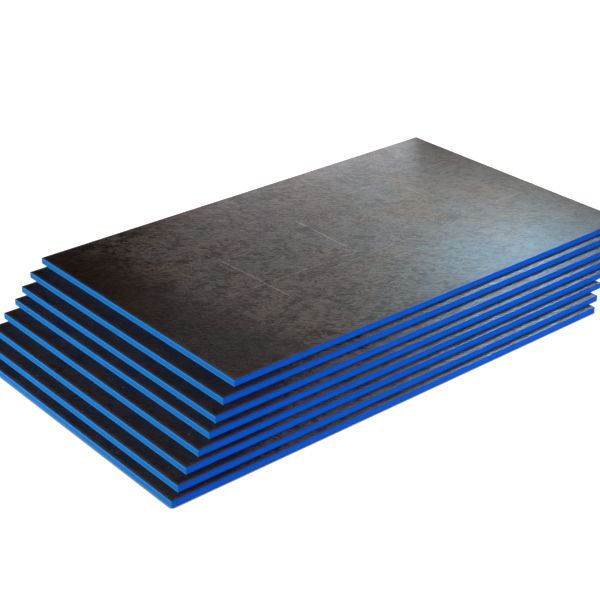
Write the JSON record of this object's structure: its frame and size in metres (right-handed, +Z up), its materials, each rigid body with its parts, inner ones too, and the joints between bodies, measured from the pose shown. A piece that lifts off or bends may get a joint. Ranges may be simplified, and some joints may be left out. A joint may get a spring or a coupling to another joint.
{
  "type": "stack of film-faced plywood sheets",
  "caption": "Stepped stack of large film-faced plywood sheets with dark phenolic faces and blue sealed edges, laid flat as raw stock for formwork and floors.",
  "frame": {"origin": "centre of the bottom sheet's underside, on the floor", "axes": "+X along the sheets' length, the way the upper sheets are set back; +Y across the sheets; +Z up"},
  "size_m": [3.0273, 1.7812, 0.24],
  "materials": {
    "film_faced_plywood": "dark brown phenolic film on both faces, semi-gloss, with the edges sealed in blue acrylic paint"
  },
  "bodies": {
    "root": {"plywood_sheet_1": "film_faced_plywood", "plywood_sheet_2": "film_faced_plywood", "plywood_sheet_3": "film_faced_plywood", "plywood_sheet_4": "film_faced_plywood", "plywood_sheet_5": "film_faced_plywood", "plywood_sheet_6": "film_faced_plywood", "plywood_sheet_7": "film_faced_plywood", "plywood_sheet_8": "film_faced_plywood"}
  },
  "joints": []
}
